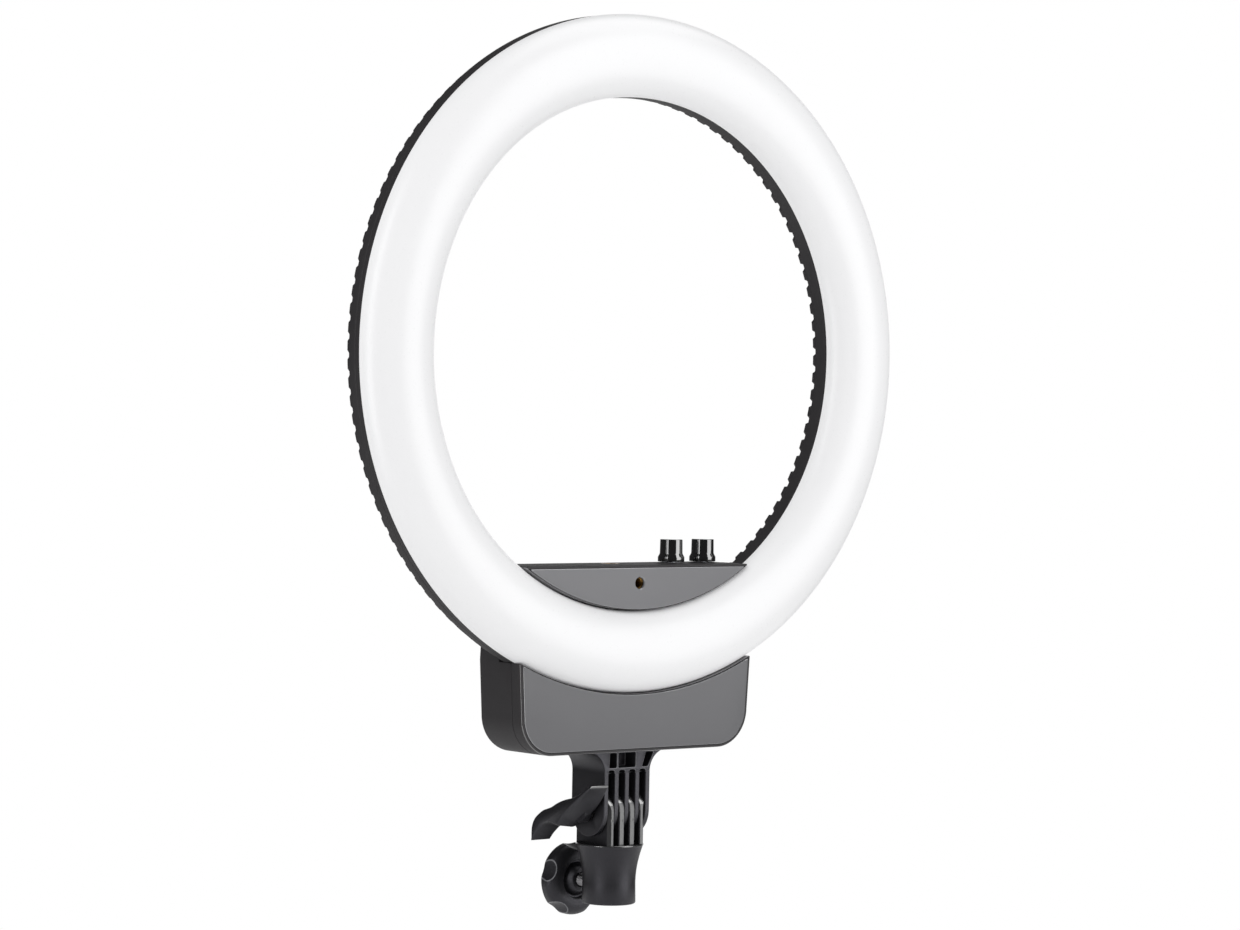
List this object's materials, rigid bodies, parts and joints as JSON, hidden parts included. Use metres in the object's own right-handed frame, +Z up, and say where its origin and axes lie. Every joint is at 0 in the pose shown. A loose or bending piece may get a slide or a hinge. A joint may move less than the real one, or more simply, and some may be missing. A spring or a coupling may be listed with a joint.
{
  "type": "led ring light",
  "caption": "Ring light with a milky diffuser on a black housing, a control box below, a camera platform inside the ring and a tilting clamp for a lighting stand.",
  "frame": {"origin": "centre of the stand socket's bottom rim, on the axis of its bore", "axes": "+Z up along the bore, -Y the way the light shines, +X to the right when the light is seen from the front"},
  "size_m": [0.4, 0.0736, 0.5366],
  "materials": {
    "milky_diffuser": "satin milky plastic",
    "black_housing": "fine moulded texture",
    "grey_panel": "satin",
    "gloss_black": "polished",
    "black_fitting": "satin",
    "black_nylon": "satin glass-filled nylon",
    "steel_fastener": "zinc plated",
    "brass_insert": "machined",
    "light_board": "white coated aluminium board",
    "driver_board": "green circuit board"
  },
  "bodies": {
    "stand_adapter": {"stand_socket": "black_nylon", "clamp_insert": "brass_insert"},
    "head": {"diffuser_ring": "milky_diffuser", "ring_housing": "black_housing", "ring_back_cover": "black_housing", "light_board_1": "light_board", "light_board_2": "light_board", "light_board_3": "light_board", "light_board_4": "light_board", "box_front_cover": "black_housing", "box_front_panel": "grey_panel", "platform_front_cover": "black_housing", "platform_front_panel": "grey_panel", "rear_housing": "black_housing", "front_thread_insert": "brass_insert", "top_thread_insert": "brass_insert", "driver_board": "driver_board", "power_inlet": "black_fitting", "switch_housing": "black_fitting", "brightness_potentiometer": "steel_fastener", "brightness_nut": "steel_fastener", "colour_potentiometer": "steel_fastener", "colour_nut": "steel_fastener", "ring_screw_1": "steel_fastener", "ring_screw_2": "steel_fastener", "ring_screw_3": "steel_fastener", "ring_screw_4": "steel_fastener", "cover_screw_1": "steel_fastener", "cover_screw_2": "steel_fastener", "cover_screw_3": "steel_fastener", "cover_screw_4": "steel_fastener", "tilt_fork": "black_nylon", "fork_screw_1": "steel_fastener", "fork_screw_2": "steel_fastener", "tilt_washer": "steel_fastener", "tilt_nut": "steel_fastener"},
    "tilt_lever": {"tilt_lever": "black_nylon", "tilt_bolt": "steel_fastener"},
    "brightness_control": {"brightness_knob": "gloss_black", "brightness_shaft": "steel_fastener"},
    "colour_control": {"colour_knob": "gloss_black", "colour_shaft": "steel_fastener"},
    "power_rocker": {"power_rocker": "gloss_black"},
    "clamp_pad": {"clamp_pad": "brass_insert"},
    "clamp_handle": {"clamp_knob": "black_nylon", "clamp_screw": "steel_fastener"}
  },
  "joints": [
    {"name": "head_tilt", "type": "hinge", "parent": "stand_adapter", "child": "head", "pos_m": [0, 0, 0.0558], "axis": [1, 0, 0], "range_deg": [-90, 90]},
    {"name": "lever_turn", "type": "hinge", "parent": "head", "child": "tilt_lever", "pos_m": [0, 0, 0.0558], "axis": [1, 0, 0], "range_deg": [-60, 60]},
    {"name": "brightness_turn", "type": "hinge", "parent": "head", "child": "brightness_control", "pos_m": [0.0473, 0.0046, 0.2092], "axis": [0, 0, 1], "range_deg": [-150, 150]},
    {"name": "colour_turn", "type": "hinge", "parent": "head", "child": "colour_control", "pos_m": [0.0721, 0.0046, 0.2092], "axis": [0, 0, 1], "range_deg": [-150, 150]},
    {"name": "power_rock", "type": "hinge", "parent": "head", "child": "power_rocker", "pos_m": [-0.05, 0.0173, 0.1183], "axis": [1, 0, 0], "range_deg": [-24, 0]},
    {"name": "clamp_travel", "type": "slide", "parent": "stand_adapter", "child": "clamp_pad", "axis": [0, 1, 0], "range_m": [-0.006, 0.004]},
    {"name": "clamp_turn", "type": "hinge", "parent": "clamp_pad", "child": "clamp_handle", "pos_m": [0, 0.03, 0.0108], "axis": [0, 1, 0], "range_deg": [-1728, 1152]}
  ],
  "couplings": [
    {"joint": "clamp_turn", "follows": "clamp_travel", "rad_per_m": 5026.5}
  ]
}
